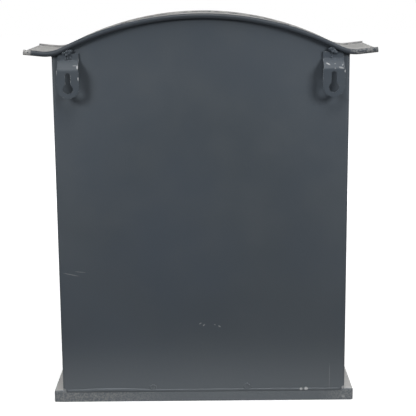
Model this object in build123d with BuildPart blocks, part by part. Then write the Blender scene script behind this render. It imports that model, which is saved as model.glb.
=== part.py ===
"""Wall mounted mailbox of folded steel sheet.

An arched roof with wired edges sits on a folded body and a shallow plinth. The
front has a letter flap over a slot and a hinged door with a cam lock. Two
keyhole straps welded to the back hang the mailbox on two screws.

Frame: +Z up, the wall is the plane Y = 0 and the front faces -Y. The origin is
midway between the round entries of the two keyholes, on the faces of the straps
that rest against the wall. Millimetres.
"""

from math import asin, cos, degrees, radians, sin, sqrt, tan
import os

from build123d import *

os.makedirs("parts", exist_ok=True)

# ---------------------------------------------------------------- driving sizes
overall_height = 310.0
roof_width = 270.0
roof_depth = 90.0
body_width = 228.0
plinth_width = 242.0
plinth_height = 9.5
plinth_step = 6.4            # plinth beyond the body at the front
keyhole_height = 254.0       # keyhole entries above the underside of the plinth

sheet = 1.0                  # body, roof, plinth, door and flap
stand_off = 9.0              # back panel to wall
roof_back_overhang = 4.0     # roof edge beyond the back panel
front_setback = 8.0          # body front behind the roof's front edge
fold_radius = 2.5            # outer radius of the main folds
small_fold = 1.5             # outer radius of the jamb, header and door folds
lap_fold = 0.5               # inner radius of the folds in the door stops

crown_radius = 239.0         # top of the roof's beads over the middle
eave_radius = 25.0           # reverse curve into the eaves
eave_height = 282.2          # lowest top of the beads, above the underside
eave_upturn = 6.0            # rise of the eaves towards their ends, degrees
bead_radius = 2.0            # roof edge curled round a wire
wire_radius = 0.95
curl_gap = 0.5               # open end of each curl
curl_gap_width = 2.2         # cut through the curl's wall
roof_drop = 1.4              # roof sheet below the top of its beads
hem_depth = 8.0              # eave ends folded back under the roof
hem_setback = 4.5            # ends of the hems inside the roof's edges
hem_round = 0.4
roof_flange_end = 121.0      # body flanges turned out under the eaves
roof_flange_leg = 7.5        # upright part of each flange, lapped into the side
plinth_corner = 2.0
plinth_round = 1.2
tack_spacing = 50.0          # tack welds under the roof
tack_radius = 2.2
spot_weld_spacing = 25.0
spot_weld_radius = 2.0
spot_weld_height = 0.4
spot_weld_round = 0.3

jamb_width = 12.5            # front returns of the body
jamb_depth = 10.0            # lips behind the front returns
floor_flange = 9.0           # feet of the body sides, turned in over the plinth
door_bottom_height = 24.0    # door opening above the underside of the plinth
door_top_height = 204.0
door_gap = 1.0
door_depth = 8.0
stop_setback = 9.0           # door stop lips behind the front
stop_height = 6.0
field_width = 148.0          # raised field pressed into the door
field_height = 138.0
field_rise = 1.6
field_corner = 6.0
field_slope = 45.0           # degrees
door_round = 1.4             # outer radius of the door's front edges

slot_width = 176.0
slot_height = 28.0
slot_bottom_height = 228.0
slot_corner = 3.0
collar_depth = 5.0           # flange turned in round the slot
flap_width = 186.0
flap_axis_height = 263.0
flap_bottom_height = 221.0
flap_lip = 5.0               # finger lip at the foot of the flap
flap_fold = 2.0
flap_curl_opening = 1.6      # open end of the curl, from the back of the flap
rod_setback = 3.4            # rod axis in front of the header
rod_radius = 1.5
rod_head_radius = 2.1
rod_head = 1.0
running_gap = 0.06
bracket_sheet = 1.2
ear_gap = 0.6
ear_radius = 3.2
bracket_height = 13.0

hinge_length = 30.0
hinge_spacing = 116.0
knuckle_radius = 2.5
knuckle_gap = 0.3
knuckle_lift = 0.1           # knuckles clear of the front
leaf = 1.0                   # hinge leaf thickness
leaf_clearance = 0.4         # leaf edge to the other leaf's knuckle
frame_leaf_edge = 111.0
door_leaf_edge = 84.0
pin_radius = 1.5
pin_overhang = 0.6
frame_rivet_x = -107.4
door_rivet_x = -91.0
rivet_spacing = 19.0
rivet_radius = 1.5
rivet_head_radius = 2.6
rivet_head_height = 1.2
rivet_dome = 3.4             # radius of the domed heads
rivet_tail_radius = 2.2
rivet_tail_height = 0.9
fit_gap = 0.03               # rivets and pins in their holes

lock_x = 87.5
lock_height = 114.0
lock_flange_radius = 9.5
lock_flange = 2.5
barrel_radius = 8.0
barrel_flat = 7.0            # flats on the barrel, from its axis
barrel_length = 10.5
nut_across_flats = 19.0
nut_thickness = 3.5
plug_radius = 5.5
plug_head_radius = 6.5
plug_head = 0.8
key_slot_width = 1.8
key_slot_height = 7.5
key_slot_depth = 6.0
tang_width = 6.0
tang_gap = 0.2               # tang's end short of the washer
cam_start = 10.9             # cam behind the door's front face
cam_thickness = 2.0
cam_width = 12.0
cam_reach = 22.0
washer_radius = 4.5
washer_thickness = 0.8
screw_radius = 1.5
screw_length = 6.0
screw_hole_end = 1.0         # hole deeper than the screw is long
screw_clearance = 0.1        # screw in the washer
screw_head_radius = 3.2
screw_head = 2.2
screw_head_round = 0.8
driver_slot = 0.9
driver_slot_length = 4.2

keyhole_spacing = 202.0
keyhole_radius = 3.75
keyhole_slot_radius = 1.9
keyhole_slot_end = 10.3      # upper end of the slot's centre line
keyhole_shoulder = 0.8
strap = 1.5                  # strap thickness
strap_width = 17.0
strap_top_width = 15.8
strap_top = 26.5
strap_gap = 0.2              # strap below the roof's curl
strap_bend = 21.0            # flat against the back panel down to here
strap_tab_top = 14.0         # tab against the wall from here down
strap_end = 1.2              # centre of the rounded end
strap_bend_radius = 2.25     # inside the bend at the panel
weld_lumps = ((-1.5, 28.3, 3.1), (2.6, 27.6, 2.4))  # outward from the strap's middle, height, radius

# ---------------------------------------------------------------- worked out
base_z = -keyhole_height
floor_z = base_z + plinth_height
apex_z = base_z + overall_height
eave_z = base_z + eave_height
back_y = -stand_off
inner_back_y = back_y - sheet
roof_back_y = back_y + roof_back_overhang
roof_front_y = roof_back_y - roof_depth
front_y = roof_front_y + front_setback
inner_front_y = front_y + sheet
plinth_front_y = front_y - plinth_step
body_half = body_width / 2
opening_half = body_half - jamb_width
roof_half = roof_width / 2
roof_under = roof_drop + sheet
door_bottom = base_z + door_bottom_height
door_top = base_z + door_top_height
door_centre = (door_bottom + door_top) / 2
slot_centre = base_z + slot_bottom_height + slot_height / 2
flap_axis_y = front_y - rod_setback
flap_axis_z = base_z + flap_axis_height
curl_radius = rod_radius + running_gap
curl_outer = curl_radius + sheet
hinge_x = -opening_half + door_gap / 2
hinge_y = front_y - knuckle_radius - knuckle_lift
hinge_centres = (door_centre - hinge_spacing / 2, door_centre + hinge_spacing / 2)
lock_z = base_z + lock_height
hanger_x = keyhole_spacing / 2

crown_z = apex_z - crown_radius
bend_z = eave_z + eave_radius
bend_x = sqrt((crown_radius + eave_radius) ** 2 - (bend_z - crown_z) ** 2)
bend_angle = degrees(asin(bend_x / (crown_radius + eave_radius)))
upturn = radians(eave_upturn)
eave_start_x = bend_x + eave_radius * sin(upturn)
eave_start_z = bend_z - eave_radius * cos(upturn)
eave_length = (roof_half - eave_start_x - 2 * bead_radius * sin(upturn)) / cos(upturn)


# ---------------------------------------------------------------- shared helpers
def facing(y):
    """Sketch plane across Y as seen from the front: local x is X, local y is Z."""
    return Plane.XZ.offset(-y)


def strip(x_min, x_max, y_min, y_max, z_min, z_max, mode=Mode.ADD):
    """Rectangular piece between two corners."""
    with Locations(((x_min + x_max) / 2, (y_min + y_max) / 2, (z_min + z_max) / 2)):
        Box(x_max - x_min, y_max - y_min, z_max - z_min, mode=mode)


def finish(piece, name):
    """Name a finished piece and write it to its own file."""
    piece.part.label = name
    export_step(piece.part, f"parts/{name}.step")


def rivet_holes(x, z_centre):
    """Two rivet holes through a hinge leaf and the sheet behind it."""
    with BuildSketch(facing(front_y)) as holes:
        with Locations((x, z_centre)):
            with GridLocations(1, rivet_spacing, 1, 2):
                Circle(rivet_radius + fit_gap)
    extrude(holes.sketch, amount=2 * leaf, both=True, mode=Mode.SUBTRACT)


def roof_curve(drop, plane=Plane.XY):
    """Curve from the left eave to the right one, `drop` below the top of the beads."""
    crown = crown_radius - drop
    bend = eave_radius + drop
    turn_x = crown * sin(radians(bend_angle))
    turn_z = crown_z + crown * cos(radians(bend_angle))
    rise_x = bend_x + bend * sin(upturn)
    rise_z = bend_z - bend * cos(upturn)
    end_x = rise_x + eave_length * cos(upturn)
    end_z = rise_z + eave_length * sin(upturn)
    with BuildLine(plane) as curve:
        Line((-end_x, end_z), (-rise_x, rise_z))
        RadiusArc((-rise_x, rise_z), (-turn_x, turn_z), -bend)
        RadiusArc((-turn_x, turn_z), (turn_x, turn_z), crown)
        RadiusArc((turn_x, turn_z), (rise_x, rise_z), -bend)
        Line((rise_x, rise_z), (end_x, end_z))
    return curve.line


def keep_below_roof(y_min, y_max, drop=roof_under):
    """Trim the piece being built to the space `drop` below the beads, between two depths."""
    curve = roof_curve(drop)
    left_end, right_end = curve @ 0, curve @ 1
    with BuildSketch(facing(y_max)) as under_roof:
        with BuildLine():
            add(curve)
            Polyline(right_end, (right_end.X, base_z), (left_end.X, base_z), left_end)
        make_face()
    extrude(under_roof.sketch, amount=y_max - y_min, mode=Mode.INTERSECT)


def across_roof(x, z, slope=0.0):
    """Plane across the roof with its origin on top of the beads; local x is Y."""
    return Plane(origin=(x, 0, z), x_dir=(0, 1, 0), z_dir=(cos(slope), 0, sin(slope)))


def carry_along_half_roof(section):
    """Carry a cross-section from the top of the roof to the end of the right eave."""
    crown_axis = Axis((0, 0, crown_z), (0, 1, 0))
    bend_axis = Axis((bend_x, 0, bend_z), (0, 1, 0))
    upturn_axis = Axis((bend_x, 0, bend_z), (0, -1, 0))
    revolve(section(across_roof(0, apex_z)), axis=crown_axis, revolution_arc=bend_angle)
    revolve(section(across_roof(bend_x, eave_z)), axis=bend_axis, revolution_arc=bend_angle)
    revolve(section(across_roof(bend_x, eave_z)), axis=upturn_axis, revolution_arc=eave_upturn)
    eave = section(across_roof(eave_start_x, eave_start_z, upturn))
    extrude(eave, amount=eave_length)


# ---------------------------------------------------------------- body
# One sheet folded round the back, the sides and the front returns, with lips
# turned in beside the door, feet over the plinth and flanges under the eaves.
with BuildPart() as body_shell:
    with BuildSketch(Plane.XY.offset(floor_z)):
        with BuildLine():
            FilletPolyline(
                (opening_half, front_y + jamb_depth),
                (opening_half, front_y),
                (body_half, front_y),
                (body_half, back_y),
                (-body_half, back_y),
                (-body_half, front_y),
                (-opening_half, front_y),
                (-opening_half, front_y + jamb_depth),
                radius=(small_fold,) + 4 * (fold_radius,) + (small_fold,),
            )
            offset(amount=sheet, side=Side.LEFT)
        make_face()
    extrude(amount=overall_height)
    for side in (-1, 1):
        flange_z = eave_z - roof_under - sheet / 2
        with BuildSketch(facing(back_y - fold_radius)):
            with BuildLine():
                FilletPolyline(
                    (side * body_half, flange_z - roof_flange_leg),
                    (side * body_half, flange_z),
                    (side * roof_flange_end, flange_z),
                    radius=fold_radius,
                )
                offset(amount=sheet, side=Side.LEFT if side > 0 else Side.RIGHT)
            make_face()
        extrude(amount=back_y - front_y - 2 * fold_radius)
        foot_outer = side * (body_half - sheet / 2)
        foot_inner = side * (body_half - sheet - floor_flange)
        strip(
            min(foot_outer, foot_inner),
            max(foot_outer, foot_inner),
            front_y + jamb_depth + sheet,
            inner_back_y - sheet,
            floor_z,
            floor_z + sheet,
        )
    keep_below_roof(front_y, back_y)
    for hinge_z in hinge_centres:
        rivet_holes(frame_rivet_x, hinge_z)
finish(body_shell, "body_shell")

# Shallow upturned pan that the body stands on; its top is the mailbox floor.
with BuildPart() as base_plinth:
    strip(-plinth_width / 2, plinth_width / 2, plinth_front_y, back_y, base_z, floor_z)
    fillet(base_plinth.edges().filter_by(Axis.Z), plinth_corner)
    fillet(base_plinth.faces().sort_by(Axis.Z)[-1].edges(), plinth_round)
    offset(amount=-sheet, openings=base_plinth.faces().sort_by(Axis.Z)[0])
finish(base_plinth, "base_plinth")


# ---------------------------------------------------------------- roof
def roof_section(plane):
    """Roof sheet with a curl at its back and front edges."""
    beads = ((roof_back_y - bead_radius, -bead_radius), (roof_front_y + bead_radius, -bead_radius))
    curl_wall = bead_radius - sheet / 2
    curl_end_z = -roof_under - curl_gap / 2
    with BuildSketch(plane) as section:
        with Locations(((roof_back_y + roof_front_y) / 2, -roof_drop - sheet / 2)):
            Rectangle(roof_depth - 2 * bead_radius, sheet)
        with Locations(*beads):
            Circle(bead_radius)
        with Locations(*beads):
            Circle(bead_radius - sheet, mode=Mode.SUBTRACT)
        with Locations((beads[0][0] - curl_wall, curl_end_z), (beads[1][0] + curl_wall, curl_end_z)):
            Rectangle(curl_gap_width, curl_gap, mode=Mode.SUBTRACT)
    return section.sketch


with BuildPart() as roof_sheet:
    carry_along_half_roof(roof_section)
    tip_x = eave_start_x + eave_length * cos(upturn)
    tip_z = eave_start_z + eave_length * sin(upturn)
    with BuildSketch(across_roof(tip_x, tip_z, upturn)):
        with Locations(((roof_back_y + roof_front_y) / 2, -roof_under - sheet / 2)):
            Rectangle(roof_depth - 2 * hem_setback, sheet)
    extrude(amount=-hem_depth)
    hem_edges = roof_sheet.edges().filter_by(Axis.Y).group_by(Axis.X)
    fillet(hem_edges[-1], hem_round)
    mirror(about=Plane.YZ)
finish(roof_sheet, "roof_sheet")


def make_roof_wire(name, wire_y):
    """Wire inside one of the roof's curls, from eave to eave."""
    path = roof_curve(bead_radius, facing(wire_y))
    with BuildPart() as roof_wire:
        with BuildSketch(Plane(origin=path @ 0, z_dir=path % 0)):
            Circle(wire_radius)
        sweep(path=path)
    finish(roof_wire, name)


make_roof_wire("roof_wire_back", roof_back_y - bead_radius)
make_roof_wire("roof_wire_front", roof_front_y + bead_radius)


# ---------------------------------------------------------------- fixed front
# Arched panel over the door, with the letter slot and a stop for the door.
with BuildPart() as front_header:
    with BuildSketch(Plane.YZ):
        with BuildLine():
            FilletPolyline(
                (front_y + stop_setback, door_top - stop_height),
                (front_y + stop_setback, door_top),
                (front_y, door_top),
                (front_y, apex_z),
                radius=(lap_fold, small_fold),
            )
            offset(amount=sheet, side=Side.RIGHT)
        make_face()
    extrude(amount=opening_half, both=True)
    for side in (-1, 1):
        edge_x = side * opening_half
        flange_x = side * (opening_half - sheet)
        strip(
            min(edge_x, flange_x),
            max(edge_x, flange_x),
            inner_front_y - sheet / 2,
            front_y + stop_setback,
            door_top + sheet / 2,
            apex_z,
        )
    with BuildSketch(facing(inner_front_y + collar_depth)):
        with Locations((0, slot_centre)):
            RectangleRounded(slot_width + 2 * sheet, slot_height + 2 * sheet, slot_corner + sheet)
    extrude(amount=collar_depth)
    with BuildSketch(facing(inner_front_y + collar_depth)):
        with Locations((0, slot_centre)):
            RectangleRounded(slot_width, slot_height, slot_corner)
    extrude(amount=collar_depth + 2 * sheet, mode=Mode.SUBTRACT)
    keep_below_roof(front_y, front_y + stop_setback + sheet)
finish(front_header, "front_header")

# Rail under the door, folded back over the floor and up behind the door.
with BuildPart() as front_sill:
    with BuildSketch(Plane.YZ):
        with BuildLine():
            FilletPolyline(
                (front_y + stop_setback, floor_z),
                (front_y, floor_z),
                (front_y, door_bottom),
                (front_y + stop_setback, door_bottom),
                (front_y + stop_setback, door_bottom + stop_height),
                radius=(small_fold, small_fold, lap_fold),
            )
            offset(amount=sheet, side=Side.RIGHT)
        make_face()
    extrude(amount=opening_half, both=True)
finish(front_sill, "front_sill")


# ---------------------------------------------------------------- hangers
def make_hanger(name, side):
    """Cranked strap with a keyhole: flat on the back panel, tab against the wall."""
    with BuildPart() as hanger:
        with BuildSketch(Plane.YZ.offset(side * hanger_x)):
            with BuildLine():
                FilletPolyline(
                    (back_y, strap_top),
                    (back_y, strap_bend),
                    (-strap, strap_tab_top),
                    (-strap, strap_end - strap_width),
                        radius=(strap_bend_radius, strap),
                )
                offset(amount=strap, side=Side.LEFT)
            make_face()
        extrude(amount=strap_width / 2, both=True)
        with BuildSketch(facing(0)):
            with Locations((side * hanger_x, 0)):
                with Locations((0, (strap_end + strap_tab_top) / 2)):
                    Rectangle(strap_width, strap_tab_top - strap_end)
                with Locations((0, strap_end)):
                    Circle(strap_width / 2)
                with Locations((0, (strap_tab_top + strap_top) / 2)):
                    Rectangle(strap_top_width, strap_top - strap_tab_top)
        extrude(amount=2 * stand_off, both=True, mode=Mode.INTERSECT)
        with BuildSketch(facing(0)) as keyhole:
            with Locations((side * hanger_x, 0)):
                Circle(keyhole_radius)
                with Locations((0, keyhole_slot_end / 2)):
                    Rectangle(2 * keyhole_slot_radius, keyhole_slot_end)
                with Locations((0, keyhole_slot_end)):
                    Circle(keyhole_slot_radius)
            shoulders = keyhole.vertices().sort_by(Axis.Z)[:2]
            fillet(shoulders, keyhole_shoulder)
        extrude(amount=2 * strap, both=True, mode=Mode.SUBTRACT)
        keep_below_roof(back_y, 0, drop=2 * bead_radius + strap_gap)
    finish(hanger, name)
    return hanger


hanger_right = make_hanger("hanger_right", 1)
hanger_left = make_hanger("hanger_left", -1)

# Two runs of weld at the top of each strap, between the strap and the roof's curl.
with BuildPart() as hanger_welds:
    for side in (-1, 1):
        for outward, height, radius in weld_lumps:
            with Locations((side * (hanger_x + outward), back_y + strap, height)):
                Sphere(radius)
    keep_below_roof(back_y, roof_back_y, drop=2 * bead_radius - sheet / 2)
    add(roof_sheet.part, mode=Mode.SUBTRACT)
    add(hanger_right.part, mode=Mode.SUBTRACT)
    add(hanger_left.part, mode=Mode.SUBTRACT)
finish(hanger_welds, "hanger_welds")

# Tack welds inside, where the back panel and the header meet the roof sheet.
with BuildPart() as roof_tacks:
    for place in (-1.5, -0.5, 0.5, 1.5):
        tack_x = place * tack_spacing
        tack_z = crown_z + sqrt((crown_radius - roof_under) ** 2 - tack_x**2)
        with Locations((tack_x, inner_back_y, tack_z), (tack_x, inner_front_y, tack_z)):
            Sphere(tack_radius)
    keep_below_roof(inner_front_y, inner_back_y)
finish(roof_tacks, "roof_tacks")

# Spot welds holding the feet of the body down on the plinth.
with BuildPart() as floor_spot_welds:
    with Locations((0, (front_y + back_y) / 2, floor_z + sheet)):
        with GridLocations(2 * (body_half - sheet - floor_flange / 2), spot_weld_spacing, 2, 3):
            Cylinder(spot_weld_radius, spot_weld_height, align=(Align.CENTER, Align.CENTER, Align.MIN))
    fillet(floor_spot_welds.faces().sort_by(Axis.Z)[-6:].edges(), spot_weld_round)
finish(floor_spot_welds, "floor_spot_welds")


# ---------------------------------------------------------------- letter flap
# Sheet curled round the rod at the top, with a finger lip at the foot.
with BuildPart() as letter_flap:
    flap_front_y = flap_axis_y + curl_radius
    flap_bottom = base_z + flap_bottom_height
    with BuildSketch(Plane.YZ):
        with Locations((flap_axis_y, flap_axis_z)):
            Circle(curl_outer)
            Circle(curl_radius, mode=Mode.SUBTRACT)
            with Locations((curl_outer, 0)):
                Rectangle(
                    flap_curl_opening,
                    curl_outer,
                    align=(Align.MAX, Align.MAX),
                    mode=Mode.SUBTRACT,
                )
        with BuildLine():
            FilletPolyline(
                (flap_front_y - flap_lip, flap_bottom),
                (flap_front_y, flap_bottom + flap_lip),
                (flap_front_y, flap_axis_z),
                radius=flap_fold,
            )
            offset(amount=sheet, side=Side.RIGHT)
        make_face()
    extrude(amount=flap_width / 2, both=True)
finish(letter_flap, "letter_flap")

ear_inner_x = flap_width / 2 + ear_gap
ear_outer_x = ear_inner_x + bracket_sheet


def make_flap_bracket(name, side):
    """Angle bracket on the header: a foot on the panel and an ear for the rod."""
    with BuildPart() as bracket:
        with BuildSketch(Plane.YZ.offset(side * ear_inner_x)):
            with Locations((flap_axis_y, flap_axis_z)):
                Circle(ear_radius)
            with Locations(((flap_axis_y + front_y) / 2, flap_axis_z)):
                Rectangle(rod_setback, 2 * ear_radius)
            with Locations((flap_axis_y, flap_axis_z)):
                Circle(rod_radius + fit_gap, mode=Mode.SUBTRACT)
        extrude(amount=side * bracket_sheet)
        foot = (side * ear_inner_x, side * (opening_half - small_fold))
        foot_z = flap_axis_z - bracket_height / 2
        strip(min(foot), max(foot), front_y - bracket_sheet, front_y, foot_z, foot_z + bracket_height)
    finish(bracket, name)


make_flap_bracket("flap_bracket_right", 1)
make_flap_bracket("flap_bracket_left", -1)

# Rod with a peened head outside each ear.
with BuildPart() as flap_rod:
    with BuildSketch(Plane.YZ.offset(-ear_outer_x)):
        with Locations((flap_axis_y, flap_axis_z)):
            Circle(rod_radius)
    extrude(amount=2 * ear_outer_x)
    for side in (-1, 1):
        with BuildSketch(Plane.YZ.offset(side * (ear_outer_x + fit_gap))):
            with Locations((flap_axis_y, flap_axis_z)):
                Circle(rod_head_radius)
        extrude(amount=side * rod_head)
    with BuildSketch(Plane.YZ.offset(-ear_outer_x - fit_gap)):
        with Locations((flap_axis_y, flap_axis_z)):
            Circle(rod_radius)
    extrude(amount=2 * (ear_outer_x + fit_gap))
    fillet(flap_rod.faces().sort_by(Axis.X)[-1].edges(), rod_head / 2)
    fillet(flap_rod.faces().sort_by(Axis.X)[0].edges(), rod_head / 2)
finish(flap_rod, "flap_rod")


# ---------------------------------------------------------------- door
# Shallow pan with a raised field; it carries the door leaves and the lock.
with BuildPart() as door_panel:
    strip(
        -opening_half + door_gap,
        opening_half - door_gap,
        front_y,
        front_y + door_depth,
        door_bottom + door_gap,
        door_top - door_gap,
    )
    fillet(door_panel.edges().filter_by(Axis.Y), small_fold)
    fillet(door_panel.faces().sort_by(Axis.Y)[0].edges(), door_round)
    offset(amount=-sheet, openings=door_panel.faces().sort_by(Axis.Y)[-1])
    with BuildSketch(facing(front_y)):
        with Locations((0, door_centre)):
            RectangleRounded(field_width, field_height, field_corner)
    extrude(amount=field_rise, taper=field_slope)
    with BuildSketch(facing(inner_front_y)):
        with Locations((0, door_centre)):
            inset = 2 * sheet * tan(radians(field_slope / 2))
            RectangleRounded(field_width - inset, field_height - inset, field_corner - inset / 2)
    extrude(amount=field_rise, taper=field_slope, mode=Mode.SUBTRACT)
    with BuildSketch(facing(front_y - sheet)):
        with Locations((lock_x, lock_z)):
            Circle(barrel_radius + fit_gap)
            Rectangle(2 * (barrel_flat + fit_gap), 3 * barrel_radius, mode=Mode.INTERSECT)
    extrude(amount=-4 * sheet, mode=Mode.SUBTRACT)
    for hinge_z in hinge_centres:
        rivet_holes(door_rivet_x, hinge_z)
finish(door_panel, "door_panel")


def knuckle(z_min, z_max, bore_radius):
    """Length of hinge knuckle round the hinge axis."""
    for radius, mode in ((knuckle_radius, Mode.ADD), (bore_radius, Mode.SUBTRACT)):
        with BuildSketch(Plane.XY.offset(z_min)) as outline:
            with Locations((hinge_x, hinge_y)):
                Circle(radius)
        extrude(outline.sketch, amount=z_max - z_min, mode=mode)


def make_frame_leaf(name, z_centre):
    """Hinge leaf on the body's front return, with the two outer knuckles."""
    reach = knuckle_radius + leaf_clearance
    low = z_centre - hinge_length / 2
    high = z_centre + hinge_length / 2
    third = hinge_length / 6
    with BuildPart() as frame_leaf:
        strip(-frame_leaf_edge, hinge_x - reach, front_y - leaf, front_y, low, high)
        for z_min, z_max in ((low, z_centre - third), (z_centre + third, high)):
            strip(hinge_x - reach, hinge_x, front_y - leaf, front_y, z_min, z_max)
            knuckle(z_min, z_max, pin_radius + fit_gap)
        rivet_holes(frame_rivet_x, z_centre)
    finish(frame_leaf, name)


def make_door_leaf(name, z_centre):
    """Hinge leaf on the door, with the middle knuckle."""
    reach = knuckle_radius + leaf_clearance
    third = hinge_length / 6 - knuckle_gap
    with BuildPart() as door_leaf:
        strip(
            hinge_x + reach,
            -door_leaf_edge,
            front_y - leaf,
            front_y,
            z_centre - hinge_length / 2,
            z_centre + hinge_length / 2,
        )
        strip(hinge_x, hinge_x + reach, front_y - leaf, front_y, z_centre - third, z_centre + third)
        knuckle(z_centre - third, z_centre + third, pin_radius + running_gap)
        rivet_holes(door_rivet_x, z_centre)
    finish(door_leaf, name)


def make_hinge_pin(name, z_centre):
    """Plain pin with rounded ends."""
    half = hinge_length / 2 + pin_overhang
    with BuildPart() as hinge_pin:
        with BuildSketch(Plane.XY.offset(z_centre - half)):
            with Locations((hinge_x, hinge_y)):
                Circle(pin_radius)
        extrude(amount=2 * half)
        fillet(hinge_pin.edges().filter_by(GeomType.CIRCLE), pin_overhang)
    finish(hinge_pin, name)


for hinge_name, hinge_z in zip(("lower", "upper"), hinge_centres):
    make_frame_leaf(f"hinge_leaf_frame_{hinge_name}", hinge_z)
    make_door_leaf(f"hinge_leaf_door_{hinge_name}", hinge_z)
    make_hinge_pin(f"hinge_pin_{hinge_name}", hinge_z)


def make_rivets(name, x):
    """Four rivets holding the leaves on one side of the hinges."""
    head_top = front_y - leaf - rivet_head_height
    tail_start = inner_front_y
    with BuildPart() as rivets:
        for z_centre in hinge_centres:
            for z in (z_centre - rivet_spacing / 2, z_centre + rivet_spacing / 2):
                with BuildSketch(Plane(origin=(x, 0, z), x_dir=(1, 0, 0), z_dir=(0, 0, 1))):
                    with BuildLine():
                        RadiusArc((0, head_top), (rivet_head_radius, front_y - leaf), -rivet_dome)
                        Polyline(
                            (rivet_head_radius, front_y - leaf),
                            (rivet_radius, front_y - leaf),
                            (rivet_radius, tail_start),
                            (rivet_tail_radius, tail_start),
                            (rivet_tail_radius, tail_start + rivet_tail_height),
                            (0, tail_start + rivet_tail_height),
                            (0, head_top),
                        )
                    make_face()
                revolve(axis=Axis((x, 0, z), (0, 1, 0)))
    finish(rivets, name)


make_rivets("hinge_rivets_frame", frame_rivet_x)
make_rivets("hinge_rivets_door", door_rivet_x)


# ---------------------------------------------------------------- cam lock
def disc(radius, y_start, y_end, mode=Mode.ADD):
    """Round length of the lock on its axis, between two depths behind the front."""
    with BuildSketch(facing(front_y + y_end)) as outline:
        with Locations((lock_x, lock_z)):
            Circle(radius)
    extrude(outline.sketch, amount=y_end - y_start, mode=mode)


with BuildPart() as lock_housing:
    disc(barrel_radius, 0, barrel_length)
    with BuildSketch(facing(front_y + barrel_length)):
        with Locations((lock_x, lock_z)):
            Rectangle(2 * barrel_flat, 3 * barrel_radius)
    extrude(amount=barrel_length, mode=Mode.INTERSECT)
    disc(lock_flange_radius, -lock_flange, 0)
    fillet(lock_housing.faces().sort_by(Axis.Y)[0].edges(), sheet)
    disc(plug_radius + running_gap, -2 * lock_flange, barrel_length, mode=Mode.SUBTRACT)
    disc(plug_head_radius + running_gap, -2 * lock_flange, plug_head - lock_flange, mode=Mode.SUBTRACT)
finish(lock_housing, "lock_housing")

with BuildPart() as lock_nut:
    with BuildSketch(facing(inner_front_y + nut_thickness)):
        with Locations((lock_x, lock_z)):
            RegularPolygon(nut_across_flats / 2, 6, major_radius=False)
            Circle(barrel_radius + fit_gap, mode=Mode.SUBTRACT)
    extrude(amount=nut_thickness)
finish(lock_nut, "lock_nut")

# Plug with its keyway in front and a square tang for the cam behind.
with BuildPart() as lock_plug:
    face_y = -lock_flange - running_gap
    disc(plug_radius, -lock_flange, cam_start)
    disc(plug_head_radius, face_y, plug_head - lock_flange - running_gap)
    with BuildSketch(facing(front_y + cam_start + cam_thickness - tang_gap)):
        with Locations((lock_x, lock_z)):
            Rectangle(tang_width, tang_width)
    extrude(amount=2 * cam_thickness)
    with BuildSketch(facing(front_y + face_y)):
        with Locations((lock_x, lock_z)):
            Rectangle(key_slot_width, key_slot_height)
    extrude(amount=-key_slot_depth, mode=Mode.SUBTRACT)
    disc(
        screw_radius + fit_gap,
        cam_start + cam_thickness - screw_length - screw_hole_end,
        cam_start + 2 * cam_thickness,
        mode=Mode.SUBTRACT,
    )
finish(lock_plug, "lock_plug")

# Cam, upright when the lock is open; a quarter turn puts it behind the return.
with BuildPart() as lock_cam:
    with BuildSketch(facing(front_y + cam_start + cam_thickness)):
        with Locations((lock_x, lock_z + (cam_reach - cam_width / 2) / 2)):
            SlotCenterToCenter(cam_reach - cam_width / 2, cam_width, rotation=90)
        with Locations((lock_x, lock_z)):
            Rectangle(tang_width + 2 * fit_gap, tang_width + 2 * fit_gap, mode=Mode.SUBTRACT)
    extrude(amount=cam_thickness)
finish(lock_cam, "lock_cam")

washer_start = cam_start + cam_thickness
head_start = washer_start + washer_thickness
with BuildPart() as cam_washer:
    disc(washer_radius, washer_start, head_start)
    disc(screw_radius + screw_clearance, washer_start, head_start, mode=Mode.SUBTRACT)
finish(cam_washer, "cam_washer")

with BuildPart() as cam_screw:
    disc(screw_radius, washer_start - screw_length, head_start)
    disc(screw_head_radius, head_start, head_start + screw_head)
    fillet(cam_screw.faces().sort_by(Axis.Y)[-1].edges(), screw_head_round)
    with BuildSketch(facing(front_y + head_start + screw_head)):
        with Locations((lock_x, lock_z)):
            Rectangle(driver_slot, driver_slot_length)
            Rectangle(driver_slot_length, driver_slot)
    extrude(amount=driver_slot, mode=Mode.SUBTRACT)
finish(cam_screw, "cam_screw")
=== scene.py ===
"""Looks of the wall mounted mailbox: paint, wear, welds, light and camera."""
import math

import bmesh
import bpy
from mathutils import Matrix, Vector, noise


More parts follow.
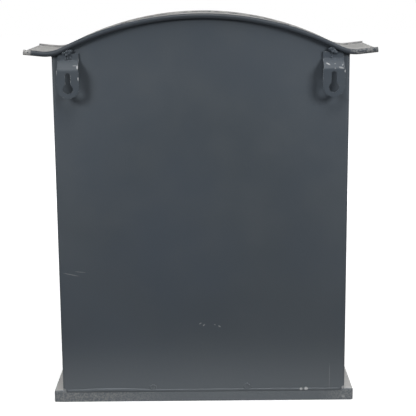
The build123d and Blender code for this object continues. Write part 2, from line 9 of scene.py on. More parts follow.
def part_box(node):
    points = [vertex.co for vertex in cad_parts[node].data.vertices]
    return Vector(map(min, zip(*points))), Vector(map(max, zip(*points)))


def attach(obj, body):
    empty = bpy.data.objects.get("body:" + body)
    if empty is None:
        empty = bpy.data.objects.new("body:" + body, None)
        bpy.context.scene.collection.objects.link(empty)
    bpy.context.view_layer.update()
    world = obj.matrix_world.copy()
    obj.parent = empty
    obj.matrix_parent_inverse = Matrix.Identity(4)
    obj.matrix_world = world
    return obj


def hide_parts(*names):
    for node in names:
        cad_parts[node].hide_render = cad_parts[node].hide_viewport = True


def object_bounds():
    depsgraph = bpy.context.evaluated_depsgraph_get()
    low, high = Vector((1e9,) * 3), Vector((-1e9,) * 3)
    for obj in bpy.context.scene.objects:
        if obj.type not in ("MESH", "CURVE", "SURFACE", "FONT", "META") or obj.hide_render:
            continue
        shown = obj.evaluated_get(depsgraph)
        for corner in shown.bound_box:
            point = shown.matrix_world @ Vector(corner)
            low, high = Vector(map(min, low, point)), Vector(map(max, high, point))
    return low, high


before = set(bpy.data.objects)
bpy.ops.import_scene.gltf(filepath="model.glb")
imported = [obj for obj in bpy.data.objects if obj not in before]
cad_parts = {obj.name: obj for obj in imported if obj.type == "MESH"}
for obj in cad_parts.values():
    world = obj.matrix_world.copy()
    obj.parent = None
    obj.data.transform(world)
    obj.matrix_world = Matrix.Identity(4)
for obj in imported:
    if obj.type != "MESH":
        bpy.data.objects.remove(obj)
cad_low, cad_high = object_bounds()

MM = 0.001
back_low, back_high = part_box("body_shell")
BACK_Y = back_high.y
FRONT_Y = back_low.y
roof_low, roof_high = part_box("roof_sheet")
plinth_low, plinth_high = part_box("base_plinth")
FLOOR_Z = plinth_low.z
PLINTH_TOP = plinth_high.z
PLINTH_STEP = 7.0 * MM       # plinth beyond the body at the sides
BODY_HALF = plinth_high.x - PLINTH_STEP
hanger_low, hanger_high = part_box("hanger_right")
HANGER_X = (hanger_low.x + hanger_high.x) / 2
STRAP = 1.5 * MM             # thickness of the hanger straps


# ------------------------------------------------------------------ node helpers
class Shader:
    """One material's node tree, with short calls for the nodes used here."""

    def __init__(self, name):
        self.material = bpy.data.materials.new(name)
        self.material.use_nodes = True
        self.tree = self.material.node_tree
        self.tree.nodes.clear()
        self.output = self.tree.nodes.new("ShaderNodeOutputMaterial")
        self.surface = self.tree.nodes.new("ShaderNodeBsdfPrincipled")
        self.tree.links.new(self.surface.outputs["BSDF"], self.output.inputs["Surface"])
        coordinates = self.tree.nodes.new("ShaderNodeTexCoord")
        self.position = coordinates.outputs["Object"]
        self.normal = coordinates.outputs["Normal"]
        self.x, self.y, self.z = self.axes(self.position)

    def feed(self, socket, value):
        """Link an output to the socket, or set it to a number or colour."""
        if isinstance(value, bpy.types.NodeSocket):
            self.tree.links.new(value, socket)
        elif isinstance(value, (tuple, list)) and len(value) == 3 and len(socket.default_value) == 4:
            socket.default_value = (*value, 1.0)
        else:
            socket.default_value = value

    def math(self, operation, a, b=0.0, c=0.0, clamp=False):
        node = self.tree.nodes.new("ShaderNodeMath")
        node.operation = operation
        node.use_clamp = clamp
        for socket, value in zip(node.inputs, (a, b, c)):
            self.feed(socket, value)
        return node.outputs[0]

    def times(self, *values):
        product = values[0]
        for value in values[1:]:
            product = self.math("MULTIPLY", product, value)
        return product

    def most(self, *values):
        largest = values[0]
        for value in values[1:]:
            largest = self.math("MAXIMUM", largest, value)
        return largest

    def axes(self, vector):
        node = self.tree.nodes.new("ShaderNodeSeparateXYZ")
        self.feed(node.inputs[0], vector)
        return node.outputs

    def stretch(self, scale):
        """Position scaled along each axis, for streaks."""
        node = self.tree.nodes.new("ShaderNodeMapping")
        self.feed(node.inputs["Vector"], self.position)
        node.inputs["Scale"].default_value = scale
        return node.outputs[0]

    def noise(self, scale, detail=2.0, roughness=0.5, vector=None):
        node = self.tree.nodes.new("ShaderNodeTexNoise")
        self.feed(node.inputs["Vector"], vector or self.position)
        node.inputs["Scale"].default_value = scale
        node.inputs["Detail"].default_value = detail
        node.inputs["Roughness"].default_value = roughness
        return node.outputs["Fac"]

    def cells(self, scale):
        """Distance to the nearest of scattered points, for specks."""
        node = self.tree.nodes.new("ShaderNodeTexVoronoi")
        self.feed(node.inputs["Vector"], self.position)
        node.inputs["Scale"].default_value = scale
        return node.outputs["Distance"]

    def step(self, value, start, end, low=0.0, high=1.0):
        """Smooth step of value from start to end, between low and high."""
        node = self.tree.nodes.new("ShaderNodeMapRange")
        node.interpolation_type = "SMOOTHSTEP"
        for socket, number in zip(node.inputs, (value, start, end, low, high)):
            self.feed(socket, number)
        return node.outputs[0]

    def mix(self, factor, a, b, blend="MIX"):
        node = self.tree.nodes.new("ShaderNodeMix")
        node.data_type = "RGBA"
        node.blend_type = blend
        self.feed(node.inputs["Factor"], factor)
        self.feed(node.inputs[6], a)
        self.feed(node.inputs[7], b)
        return node.outputs[2]

    def blend(self, factor, a, b):
        node = self.tree.nodes.new("ShaderNodeMix")
        self.feed(node.inputs["Factor"], factor)
        self.feed(node.inputs[2], a)
        self.feed(node.inputs[3], b)
        return node.outputs[0]

    def rounded(self, radius):
        """Normal as if the sharp edges were rounded."""
        bevel = self.tree.nodes.new("ShaderNodeBevel")
        bevel.samples = 4
        bevel.inputs["Radius"].default_value = radius
        return bevel.outputs[0]

    def edges(self, radius):
        """1 on outer edges within radius, 0 on flat faces."""
        geometry = self.tree.nodes.new("ShaderNodeNewGeometry")
        dot = self.tree.nodes.new("ShaderNodeVectorMath")
        dot.operation = "DOT_PRODUCT"
        self.feed(dot.inputs[0], self.rounded(radius))
        self.feed(dot.inputs[1], geometry.outputs["Normal"])
        return self.step(dot.outputs["Value"], 0.995, 0.85)

    def crevices(self, distance):
        """1 in corners of the piece's own shape, 0 in the open."""
        node = self.tree.nodes.new("ShaderNodeAmbientOcclusion")
        node.samples = 6
        node.only_local = True
        node.inputs["Distance"].default_value = distance
        return self.step(node.outputs["AO"], 0.95, 0.45)

    def mark(self, x, z, length, width, turn=0.0):
        """Soft-edged ragged stroke on the faces seen along Y, sizes in millimetres."""
        across = self.math("SUBTRACT", self.x, x * MM)
        up = self.math("SUBTRACT", self.z, z * MM)
        cos_turn = math.cos(math.radians(turn))
        sin_turn = math.sin(math.radians(turn))
        along = self.math("MULTIPLY_ADD", across, cos_turn, self.math("MULTIPLY", up, sin_turn))
        beside = self.math("MULTIPLY_ADD", up, cos_turn, self.math("MULTIPLY", across, -sin_turn))
        along = self.math("MULTIPLY", along, 2 / (length * MM))
        beside = self.math("MULTIPLY", beside, 2 / (width * MM))
        reach = self.math("MULTIPLY_ADD", along, along, self.math("MULTIPLY", beside, beside))
        rag = self.math("MULTIPLY_ADD", self.noise(1500.0, 2.0, 0.6), 1.6, -0.8)
        return self.step(self.math("ADD", reach, rag), 1.3, 0.3)

    def length(self, a, b):
        """Length of the flat vector a, b."""
        return self.math("SQRT", self.math("MULTIPLY_ADD", a, a, self.math("MULTIPLY", b, b)))

    def distance_from(self, x, z):
        """Distance from the point x, z as seen along Y."""
        return self.length(self.math("SUBTRACT", self.x, x), self.math("SUBTRACT", self.z, z))

    def bump(self, height, distance, under):
        """Normal of the surface under, raised by height times distance."""
        node = self.tree.nodes.new("ShaderNodeBump")
        node.inputs["Strength"].default_value = 1.0
        node.inputs["Distance"].default_value = distance
        self.feed(node.inputs["Height"], height)
        self.feed(node.inputs["Normal"], under)
        return node.outputs[0]

    def finish(self, colour, roughness, normal=None, metallic=0.0, specular=0.5):
        """Set the surface and return the finished material."""
        self.feed(self.surface.inputs["Base Color"], colour)
        self.feed(self.surface.inputs["Roughness"], roughness)
        self.feed(self.surface.inputs["Metallic"], metallic)
        self.surface.inputs["Specular IOR Level"].default_value = specular
        if normal is not None:
            self.feed(self.surface.inputs["Normal"], normal)
        return self.material


# ------------------------------------------------------------------ paints
DARK_BLUE = (0.076, 0.094, 0.117)
DARK_GREEN = (0.078, 0.094, 0.110)
DARK_DUSTY = (0.090, 0.106, 0.122)
# darker tone the dark coat is pulled towards, as painted shade on the roof
DARK_DEEP = (0.02, 0.024, 0.03)
DUST = (0.17, 0.18, 0.19)
# pale blue-grey that the back is lightened towards, as painted light
PAINTED_LIGHT_TINT = (0.27, 0.30, 0.325)
LIGHT_LOW = (0.335, 0.33, 0.32)
LIGHT_HIGH = (0.45, 0.445, 0.435)
LIGHT_RUBBED = (0.21, 0.21, 0.205)
LIGHT_DRAGGED = (0.60, 0.60, 0.59)
# white the coat is bleached towards, on the plinth partly as painted light
CHALK_AND_PAINTED_LIGHT = (0.66, 0.66, 0.65)
BARE = (0.64, 0.65, 0.66)
# dark tone painted into the corners of bare metal as shade
CORNER_SHADE = (0.06, 0.055, 0.05)

PANEL_MIDDLE = (-2 * MM, -100 * MM)    # x and z of the back's middle, which the painted light leaves darkest
FLOOR_REFLECTION_REACH = 70 * MM                    # how far the painted reflection of the floor reaches up from the plinth

# Scuffs and chips on the back: x, z, length, width in millimetres, turn in degrees, strength.
SCUFFS = (
    (2.2, -188.6, 2.2, 1.0, -30, 0.35),
    (-0.6, -190.0, 2.4, 1.2, -35, 0.40),
    (-9.3, -189.7, 1.8, 1.0, 20, 0.25),
    (-13.1, -191.1, 2.6, 1.2, 30, 0.40),
    (104.5, -147.4, 13.0, 0.9, 12, 0.22),
    (97.0, -145.4, 9.0, 0.7, 6, 0.20),
    (-101.6, -234.0, 24.0, 0.6, 90, 0.22),
    (-78.8, -244.4, 2.6, 2.4, 0, 1.0),
    (-82.8, -244.2, 3.2, 3.0, 0, 1.0),
    (112.6, -243.6, 2.6, 1.8, 30, 0.7),
    (87.5, -249.0, 1.6, 1.2, 0, 0.5),
    (-112.6, -243.4, 3.0, 2.4, -40, 1.0),
    (-113.0, -251.0, 3.4, 1.2, 0, 0.8),
)
HANGER_SCUFFS = (
    (-96.6, 17.6, 3.6, 1.1, 28, 0.70),
    (-106.4, 14.8, 4.2, 1.5, 16, 0.38),
    (-107.6, 16.8, 1.8, 1.0, -40, 0.40),
    (-101.9, 17.6, 1.2, 0.8, 0, 0.35),
    (-101.8, 14.4, 1.2, 0.8, 0, 0.35),
    (-109.2, 15.5, 2.6, 0.9, 90, 0.80),
    (-109.3, 12.3, 2.4, 0.9, 90, 0.80),
    (93.6, 16.4, 2.6, 1.6, 80, 0.65),
    (95.6, 17.6, 4.0, 0.7, 0, 0.30),
    (93.1, 7.9, 2.6, 0.8, 90, 0.85),
    (109.2, 14.0, 7.0, 0.7, 90, 0.35),
)


def dark_coat(s):
    """Colour and roughness of the dark blue-grey coat that everything has."""
    patches = s.noise(8.0, 3.0, 0.55)
    clouds = s.noise(34.0, 4.0, 0.6)
    colour = s.mix(s.step(patches, 0.30, 0.70), DARK_BLUE, DARK_GREEN)
    colour = s.mix(s.step(clouds, 0.40, 0.80, 0.0, 0.30), colour, DARK_DUSTY)
    dust = s.noise(1400.0, 2.0, 0.7)
    colour = s.mix(s.step(dust, 0.62, 0.80, 0.0, 0.16), colour, DUST)
    roughness = s.step(clouds, 0.3, 0.7, 0.38, 0.50)
    return colour, roughness


def antique_coat(s, under):
    """Grey-white top coat, rubbed and speckled, over the colour given."""
    tone = s.noise(26.0, 5.0, 0.6)
    colour = s.mix(s.step(tone, 0.30, 0.70), LIGHT_LOW, LIGHT_HIGH)
    brushed = s.noise(1.0, 3.0, 0.6, vector=s.stretch((1100.0, 700.0, 70.0)))
    colour = s.mix(s.step(brushed, 0.48, 0.80, 0.0, 0.50), colour, LIGHT_RUBBED)
    drag = s.noise(1.0, 2.0, 0.5, vector=s.stretch((320.0, 320.0, 22.0)))
    colour = s.mix(s.step(drag, 0.58, 0.76, 0.0, 0.35), colour, LIGHT_DRAGGED)
    specks = s.step(s.cells(620.0), 0.24, 0.14)
    sparse = s.step(s.noise(90.0, 3.0, 0.6), 0.46, 0.62)
    colour = s.mix(s.times(specks, sparse, 0.85), colour, under)
    blots = s.step(s.noise(300.0, 3.0, 0.65), 0.655, 0.70)
    return s.mix(s.times(blots, 0.8), colour, under)


def on_back(s):
    """1 on whatever is at the back, 0 from 3 mm further forward."""
    return s.step(s.y, BACK_Y - 3 * MM, BACK_Y - 2 * MM)


def paint_back_light(s, colour):
    """Painted light on the back: darker in the middle and paler outwards as the side lamps light it, a
    painted reflection of the floor over the foot, and a painted highlight on the plinth's top band.
    """
    spread = s.distance_from(*PANEL_MIDDLE)
    spread = s.math("MULTIPLY_ADD", s.math("SUBTRACT", s.noise(14.0, 2.0), 0.5), 40 * MM, spread)
    # outer is painted lamp light, foot a painted reflection of the floor, band a painted highlight
    outer = s.step(spread, 60 * MM, 125 * MM, 0.0, 0.06)
    near_foot = s.step(s.z, PLINTH_TOP + FLOOR_REFLECTION_REACH, PLINTH_TOP - 6 * MM)
    foot = s.times(near_foot, near_foot, 0.52)
    band = s.step(s.z, PLINTH_TOP, PLINTH_TOP - 1.5 * MM, 0.0, 0.16)
    painted_light = s.math("ADD", s.math("ADD", outer, foot), band)
    return s.mix(s.times(painted_light, on_back(s)), colour, PAINTED_LIGHT_TINT)


def painted(name, top_coat=None, wear=0.5, marks=(), painted_light=False, pale=0.0, deep=0.0):
    """Sheet metal in the dark coat, with the grey-white coat where top_coat says.

    pale bleaches the grey-white coat, on the plinth's ledge partly as painted light, and deep darkens
    the dark one as painted shade on the roof, each from 0 to 1.
    """
    s = Shader(name)
    dark, roughness = dark_coat(s)
    # deep darkens the dark coat, as painted shade on the roof's bead and underside
    dark = s.mix(deep, dark, DARK_DEEP)
    # painted light and a painted floor reflection on the back faces
    if painted_light:
        dark = paint_back_light(s, dark)
    colour = dark
    edge = s.edges(0.8 * MM)
    worn = s.times(edge, s.step(s.noise(260.0, 3.0, 0.6), 0.52, 0.64), wear)
    if top_coat is not None:
        cover = top_coat(s)
        # pale whitens the coat; on the plinth this is partly painted light
        light = s.mix(pale, antique_coat(s, dark), CHALK_AND_PAINTED_LIGHT)
        rubbed = s.times(s.edges(2.4 * MM), s.step(s.noise(130.0, 4.0, 0.65), 0.44, 0.58))
        # Painted shade: the grey-white coat turns to the dark one in the piece's own corners, from
        # ambient occlusion, in patches.
        patchy_darkening = s.times(s.crevices(5 * MM), s.step(s.noise(180.0, 4.0, 0.6), 0.25, 0.60), 0.75)
        light = s.mix(s.most(rubbed, patchy_darkening), light, dark)
        colour = s.mix(cover, dark, light)
        chalky = s.step(s.noise(60.0, 3.0, 0.6), 0.30, 0.70, 0.56, 0.68)
        roughness = s.blend(cover, roughness, chalky)
        worn = s.times(worn, s.math("SUBTRACT", 1.0, cover, clamp=True))
    behind = on_back(s)
    for x, z, length, width, turn, strength in marks:
        worn = s.most(worn, s.times(s.mark(x, z, length, width, turn), behind, strength))
    colour = s.mix(worn, colour, BARE)
    skin = s.bump(s.noise(420.0, 2.0, 0.5), 0.05 * MM, under=s.rounded(0.35 * MM))
    skin = s.bump(s.noise(2600.0, 2.0, 0.6), 0.012 * MM, under=skin)
    skin = s.bump(s.math("SUBTRACT", 1.0, worn), 0.06 * MM, under=skin)
    return s.finish(colour, roughness, skin)


def ragged(s, value, start, end, amount=1.2 * MM):
    """Smooth step whose boundary wanders, as a sprayed coat ends."""
    wander = s.math("MULTIPLY", s.math("SUBTRACT", s.noise(240.0, 4.0, 0.65), 0.5), amount * 4)
    return s.step(s.math("ADD", value, wander), start, end)


def everywhere(s):
    """The whole piece."""
    return 1.0


def front_face(s):
    """Outer side of the front's sheets, not their inner side."""
    ahead = s.step(s.y, FRONT_Y + 0.6 * MM, FRONT_Y + 0.3 * MM)
    return s.times(ahead, s.step(s.axes(s.normal)[1], 0.5, 0.1))


def outside_of_body(s):
    """Sides and front of the body, not the back panel or the inside."""
    reach = s.math("ABSOLUTE", s.x)
    side = s.step(reach, BODY_HALF - 0.7 * MM, BODY_HALF - 0.3 * MM)
    side = s.times(side, ragged(s, s.y, BACK_Y - 4.0 * MM, BACK_Y - 7.5 * MM))
    return s.most(side, front_face(s))


def top_of_roof(s):
    """Upper face of the roof up to the back bead, with overspray on one eave."""
    up = s.step(s.axes(s.normal)[2], 0.15, 0.45)
    inside_edge = ragged(s, s.y, roof_high.y - 4.0 * MM, roof_high.y - 5.2 * MM, 0.3 * MM)
    mottle = s.step(s.noise(520.0, 3.0, 0.6), 0.38, 0.60)
    spray = s.times(s.step(s.x, -0.110, -0.120), mottle, 0.65)
    chipped = s.step(s.noise(330.0, 3.0, 0.6), 0.36, 0.46)
    tip = s.times(s.step(s.x, roof_high.x - 7 * MM, roof_high.x - 4.5 * MM), chipped)
    front = s.step(s.y, roof_low.y + 4.5 * MM, roof_low.y + 2.5 * MM)
    return s.most(s.times(up, inside_edge), spray, tip, front)


def top_of_plinth(s):
    """Top, front and ends of the plinth; the back band only catches overspray."""
    back = ragged(s, s.y, BACK_Y - 1.6 * MM, BACK_Y - 0.4 * MM, 0.2 * MM)
    corner = s.most(s.step(s.x, 0.010, 0.100, 0.05, 0.60), s.step(s.x, -0.085, -0.119, 0.0, 0.45))
    mottle = s.step(s.noise(700.0, 4.0, 0.75), 0.40, 0.62)
    return s.blend(back, 1.0, s.times(corner, mottle))


# ------------------------------------------------------------------ bare metals
def metal(name, colour, roughness, grain=(900.0, 900.0, 900.0)):
    """Bare or plated metal with fine streaks, dull patches and painted shade in its corners."""
    s = Shader(name)
    streaks = s.noise(1.0, 3.0, 0.6, vector=s.stretch(grain))
    patchy_darkening = s.noise(180.0, 4.0, 0.6)
    dull = tuple(0.55 * c for c in colour)
    tint = s.mix(s.step(patchy_darkening, 0.42, 0.72, 0.0, 0.8), colour, dull)
    # painted shade in the piece's own corners, from ambient occlusion
    tint = s.mix(s.times(s.crevices(2 * MM), 0.7), tint, CORNER_SHADE)
    rough = s.math(
        "ADD",
        s.step(streaks, 0.3, 0.7, roughness - 0.08, roughness + 0.08),
        s.step(patchy_darkening, 0.5, 0.8, 0.0, 0.2),
    )
    return s.finish(tint, rough, s.bump(streaks, 0.01 * MM, under=s.rounded(0.2 * MM)), metallic=1.0)


materials = {
    # body, plinth and seam get painted light on their back faces
    "body_shell": painted("body_paint", outside_of_body, wear=0.35, marks=SCUFFS, painted_light=True),
    # plinth: the ledge is made paler, partly as painted light from the sides
    "base_plinth": painted("plinth_paint", top_of_plinth, marks=SCUFFS, painted_light=True, pale=0.6),
    # roof: its dark coat is darkened as painted shade on the bead and underside
    "roof_sheet": painted("roof_paint", top_of_roof, wear=0.25, pale=0.1, deep=0.40),
    "hanger": painted("hanger_paint", wear=0.55, marks=HANGER_SCUFFS),
    "seam": painted("seam_paint", wear=0.3, marks=SCUFFS, painted_light=True),
    "weld": painted("weld_paint", wear=0.0),
    "front": painted("front_paint", front_face),
    "antique": painted("antique_paint", everywhere),
    "wire": metal("drawn_wire", (0.42, 0.42, 0.42), 0.38, (2500.0, 300.0, 300.0)),
    "zinc": metal("zinc_plate", (0.56, 0.56, 0.54), 0.36),
    "chrome": metal("lock_chrome", (0.62, 0.62, 0.62), 0.22),
}
node_material = {
    "body_shell": "body_shell", "base_plinth": "base_plinth", "roof_sheet": "roof_sheet",
    "roof_wire_back": "wire", "roof_wire_front": "wire",
    "front_header": "front", "front_sill": "front", "door_panel": "front",
    "hanger_left": "hanger", "hanger_right": "hanger", "hanger_welds": "weld",
    "roof_tacks": "weld", "floor_spot_welds": "weld",
    "letter_flap": "antique", "flap_bracket_left": "antique", "flap_bracket_right": "antique",
    "flap_rod": "wire", "hinge_pin_lower": "wire", "hinge_pin_upper": "wire",
    "hinge_leaf_frame_lower": "antique", "hinge_leaf_frame_upper": "antique",
    "hinge_leaf_door_lower": "antique", "hinge_leaf_door_upper": "antique",
    "hinge_rivets_frame": "antique", "hinge_rivets_door": "antique",
    "lock_housing": "chrome", "lock_plug": "chrome",
    "lock_nut": "zinc", "lock_cam": "zinc", "cam_washer": "zinc", "cam_screw": "zinc",
}
for node_name, key in node_material.items():
    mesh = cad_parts[node_name].data
    mesh.materials.clear()
    mesh.materials.append(materials[key])


# ------------------------------------------------------------------ welds and seam
def piece_from(builder, name, key):
    """Finished mesh as a smooth piece on the fixed body."""
    mesh = bpy.data.meshes.new(name)
    bmesh.ops.recalc_face_normals(builder, faces=builder.faces)
    builder.to_mesh(mesh)
    builder.free()
    mesh.materials.append(materials[key])
    mesh.shade_smooth()
    piece = bpy.data.objects.new(name, mesh)
    bpy.context.collection.objects.link(piece)
    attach(piece, "root")
    return piece


def fused(piece, voxel):
    """Melt overlapping closed shapes of a piece into one skin."""
    remesh = piece.modifiers.new("melt", "REMESH")
    remesh.mode = "VOXEL"
    remesh.voxel_size = voxel
    smooth = piece.modifiers.new("settle", "SMOOTH")
    smooth.factor = 0.5
    smooth.iterations = 3
    depsgraph = bpy.context.evaluated_depsgraph_get()
    mesh = bpy.data.meshes.new_from_object(piece.evaluated_get(depsgraph))
    piece.modifiers.clear()
    piece.data = mesh
    mesh.shade_smooth()


def roughen(piece, height, size):
    """Push each point along its normal by noise with bumps of about the size given."""
    for vertex in piece.data.vertices:
        swell = noise.fractal(vertex.co / size, 0.8, 2.0, 3)
        vertex.co += vertex.normal * swell * height


WELD_Y = BACK_Y + STRAP
LUMP_SHAPE = (1.0, 0.95, 0.85)    # a lump's share of its radius along x, y and z
RUN_BEADS = 14
RUN_WOBBLE = 0.25

# Lumps of weld between strap and bead, in millimetres: outward from the strap's middle, z, radius.
RIGHT_WELD = ((-2.0, 28.2, 1.9), (-0.8, 26.6, 1.7), (0.5, 28.2, 2.2), (3.0, 27.0, 1.9), (1.1, 25.6, 1.5))
LEFT_WELD = ((-2.4, 28.4, 1.9), (-0.6, 26.6, 1.7), (-0.5, 28.9, 1.9), (1.7, 26.0, 1.8), (0.6, 27.4, 1.8))
# Runs down the strap below them, in millimetres: outward, z from, z to, radius.
RIGHT_RUNS = ((2.0, 25.5, 19.6, 0.85), (-0.2, 24.5, 18.8, 0.80), (-2.2, 26.0, 22.8, 0.70))
LEFT_RUNS = ((-1.2, 24.5, 22.4, 0.70),)


def add_weld(builder, side, lumps, runs):
    """One strap's weld, on the side +1 or -1, as overlapping balls."""
    for outward, z, radius in lumps:
        place = Vector((side * (HANGER_X + outward * MM), WELD_Y, z * MM))
        matrix = Matrix.Translation(place) @ Matrix.Diagonal((*LUMP_SHAPE, 1.0))
        bmesh.ops.create_icosphere(builder, subdivisions=3, radius=radius * MM, matrix=matrix)
    for outward, z_from, z_to, radius in runs:
        for i in range(RUN_BEADS + 1):
            part = i / RUN_BEADS
            wobble = RUN_WOBBLE * math.sin(5.0 * part + outward)
            place = Vector((
                side * (HANGER_X + (outward + wobble) * MM),
                WELD_Y,
                (z_from + part * (z_to - z_from)) * MM,
            ))
            swell = radius * (0.75 + 0.35 * part ** 3)
            bmesh.ops.create_icosphere(
                builder, subdivisions=2, radius=swell * MM, matrix=Matrix.Translation(place)
            )


def make_weld_beads():
    """Weld at the top of both straps, melted together and pitted."""
    builder = bmesh.new()
    add_weld(builder, 1, RIGHT_WELD, RIGHT_RUNS)
    add_weld(builder, -1, LEFT_WELD, LEFT_RUNS)
    weld_beads = piece_from(builder, "hanger_weld_beads", "weld")
    fused(weld_beads, 0.22 * MM)
    roughen(weld_beads, 0.22 * MM, 1.1 * MM)
    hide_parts("hanger_welds")


def skin_rings(builder, rings):
    """Join closed rings of points, one after another, and cap both ends."""
    for ring, following in zip(rings, rings[1:]):
        for i in range(len(ring)):
            j = (i + 1) % len(ring)
            builder.faces.new((ring[i], ring[j], following[j], following[i]))
    builder.faces.new(rings[0])
    builder.faces.new(rings[-1])


SEAM_STEPS = 150
SEAM_END_GAP = 3 * MM        # from the seam's ends to the body's sides
SEAM_FADE = 4 * MM           # length over which it thins out at its ends
SEAM_DEPTH = 0.8 * MM        # sunk into the panel
SEAM_FOOT = 1.5 * MM         # reach down over the plinth's edge
FULL_RUN_X = 74 * MM         # middle of the fuller run
FULL_RUN_HALF = 24 * MM


def seam_height(x):
    """Top of the sealed seam above the plinth: a fuller run near one side."""
    full = math.exp(-((x - FULL_RUN_X) / FULL_RUN_HALF) ** 4)
    return (0.8 + 1.1 * full) * MM + 0.15 * MM * noise.noise(Vector((x / (9 * MM), 0.0, 0.0)))


def make_seam():
    """Filled seam along the foot of the back panel, over the plinth's rounded edge."""
    builder = bmesh.new()
    end = BODY_HALF - SEAM_END_GAP
    rings = []
    for i in range(SEAM_STEPS + 1):
        x = end * (2 * i / SEAM_STEPS - 1)
        fade = min(1.0, (end - abs(x)) / SEAM_FADE)
        rise = seam_height(x)
        bulge = fade * (0.12 * MM + 0.28 * rise)
        outline = (
            (-SEAM_DEPTH, rise),
            (0.01 * MM, rise),
            (0.75 * bulge, 0.55 * rise),
            (bulge, -0.1 * MM),
            (0.6 * bulge, -0.9 * MM),
            (0.0, -SEAM_FOOT),
            (-SEAM_DEPTH, -SEAM_FOOT),
        )
        rings.append([builder.verts.new((x, BACK_Y + y, PLINTH_TOP + z)) for y, z in outline])
    skin_rings(builder, rings)
    piece_from(builder, "base_seam", "seam")


SPOT_RADIUS = 2.9 * MM
SPOT_SEGMENTS = 40
# From the rim to the middle: share of the radius, height in millimetres.
SPOT_PROFILE = ((1.0, -0.25), (0.94, 0.05), (0.80, 0.34), (0.66, 0.22), (0.45, -0.02), (0.2, 0.05))


def make_spot_weld(name, x, z):
    """Shallow crater of a spot weld low on the back panel."""
    builder = bmesh.new()
    rings = []
    for share, height in SPOT_PROFILE:
        ring = []
        for i in range(SPOT_SEGMENTS):
            angle = math.tau * i / SPOT_SEGMENTS
            cos_angle = math.cos(angle)
            sin_angle = math.sin(angle)
            uneven = 0.16 * noise.noise(Vector((2 * cos_angle, 2 * sin_angle, 40 * x + share)))
            reach = SPOT_RADIUS * share * (1 + uneven)
            rim = 0.9 * uneven if share > 0.5 else 0.0
            place = (x + reach * cos_angle, BACK_Y + (height + rim) * MM, z + reach * sin_angle)
            ring.append(builder.verts.new(place))
        rings.append(ring)
    skin_rings(builder, rings)
    piece_from(builder, name, "seam")


make_weld_beads()
make_seam()
make_spot_weld("back_spot_weld_right", 40.8 * MM, -242.4 * MM)
make_spot_weld("back_spot_weld_left", -35.0 * MM, -242.0 * MM)


# ------------------------------------------------------------------ stage
WORLD_LIGHT = 0.03           # the white surroundings as a light; the camera sees them at 1
FLOOR_GLOW = 0.62            # near the object; it rises to 1 further out
FLOOR_HALF = 6.0

MIDDLE = (cad_low + cad_high) / 2
# Lamps: name, place, point that it faces, size, power, spread in degrees.
LAMPS = (
    ("back_right", (0.42, 0.33, 0.20), (0.10, 0.0, -0.05), 0.18, 0.215, 65),
    ("back_left", (-0.42, 0.33, 0.20), (-0.10, 0.0, -0.05), 0.18, 0.215, 65),
    ("back_high", (-0.05, 0.42, 0.72), MIDDLE, 0.35, 1.80, 180),
    ("back_top", (0.0, 0.12, 0.95), MIDDLE, 0.45, 2.4, 180),
    ("front_left", (-0.9, -1.1, 0.5), MIDDLE, 0.8, 13.0, 180),
    ("front_right", (1.1, -0.9, 0.6), MIDDLE, 0.8, 8.0, 180),
)


def soft_light(name, place, target, size, power, spread):
    """Square lamp at place, facing target, with its light held to spread degrees."""
    data = bpy.data.lights.new(name, "AREA")
    data.shape = "SQUARE"
    data.size = size
    data.energy = power
    data.spread = math.radians(spread)
    lamp = bpy.data.objects.new(name, data)
    bpy.context.collection.objects.link(lamp)
    lamp.location = place
    lamp.rotation_mode = "QUATERNION"
    lamp.rotation_quaternion = (Vector(target) - Vector(place)).to_track_quat("-Z", "Y")


def white_surroundings():
    """White world, bright to the camera and dim as a light."""
    world = bpy.data.worlds.new("studio")
    bpy.context.scene.world = world
    world.use_nodes = True
    tree = world.node_tree
    backdrop = tree.nodes["Background"]
    backdrop.inputs["Color"].default_value = (1.0, 1.0, 1.0, 1.0)
    seen = tree.nodes.new("ShaderNodeLightPath").outputs["Is Camera Ray"]
    brightness = tree.nodes.new("ShaderNodeMapRange")
    brightness.inputs["To Min"].default_value = WORLD_LIGHT
    brightness.inputs["To Max"].default_value = 1.0
    tree.links.new(seen, brightness.inputs["Value"])
    tree.links.new(brightness.outputs[0], backdrop.inputs["Strength"])


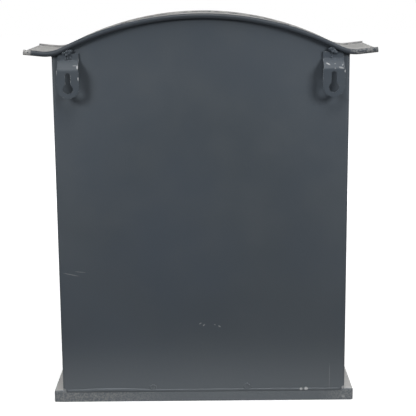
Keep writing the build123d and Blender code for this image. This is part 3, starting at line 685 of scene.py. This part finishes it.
def white_paper():
    """Floor paint: near white to the camera, greyer in what it throws back on the object."""
    s = Shader("floor_white")
    seen = s.tree.nodes.new("ShaderNodeLightPath").outputs["Is Camera Ray"]
    glow = s.step(s.length(s.x, s.y), 0.35, 1.1, FLOOR_GLOW, 1.0)
    s.surface.inputs["Emission Color"].default_value = (1.0, 1.0, 1.0, 1.0)
    s.feed(s.surface.inputs["Emission Strength"], s.math("MULTIPLY", glow, seen))
    return s.finish(s.mix(seen, (0.35, 0.35, 0.35), (0.8, 0.8, 0.8)), 0.9, specular=0.0)


def white_floor():
    builder = bmesh.new()
    bmesh.ops.create_grid(builder, x_segments=1, y_segments=1, size=FLOOR_HALF)
    mesh = bpy.data.meshes.new("floor")
    builder.to_mesh(mesh)
    builder.free()
    mesh.materials.append(white_paper())
    floor = bpy.data.objects.new("floor", mesh)
    floor.location = (0.0, 0.0, FLOOR_Z)
    bpy.context.collection.objects.link(floor)


for lamp_name, place, target, size, power, spread in LAMPS:
    soft_light(lamp_name, place, target, size, power, spread)
white_surroundings()
white_floor()


# ------------------------------------------------------------------ camera
CAMERA_PLACE = Vector((-0.0028, 0.854, 0.0805))
CAMERA_TURN = math.radians(-0.12)      # about the vertical, from straight at the back
CAMERA_DIP = math.radians(11.46)       # below the horizon
CAMERA_ROLL = math.radians(-0.455)
LENS = 97.3


def camera_facing():
    """Rotation of the camera from its turn, dip and roll."""
    ahead = Vector((
        math.sin(CAMERA_TURN) * math.cos(CAMERA_DIP),
        -math.cos(CAMERA_TURN) * math.cos(CAMERA_DIP),
        -math.sin(CAMERA_DIP),
    ))
    level = ahead.cross(Vector((0, 0, 1))).normalized()
    upright = level.cross(ahead)
    across = level * math.cos(CAMERA_ROLL) + upright * math.sin(CAMERA_ROLL)
    above = upright * math.cos(CAMERA_ROLL) - level * math.sin(CAMERA_ROLL)
    return Matrix((across, above, -ahead)).transposed().to_4x4()


camera_data = bpy.data.cameras.new("camera")
camera_data.lens = LENS
camera_data.clip_start = 0.05
camera = bpy.data.objects.new("camera", camera_data)
bpy.context.collection.objects.link(camera)
camera.matrix_world = Matrix.Translation(CAMERA_PLACE) @ camera_facing()
bpy.context.scene.camera = camera
bpy.context.scene.view_settings.view_transform = "Standard"
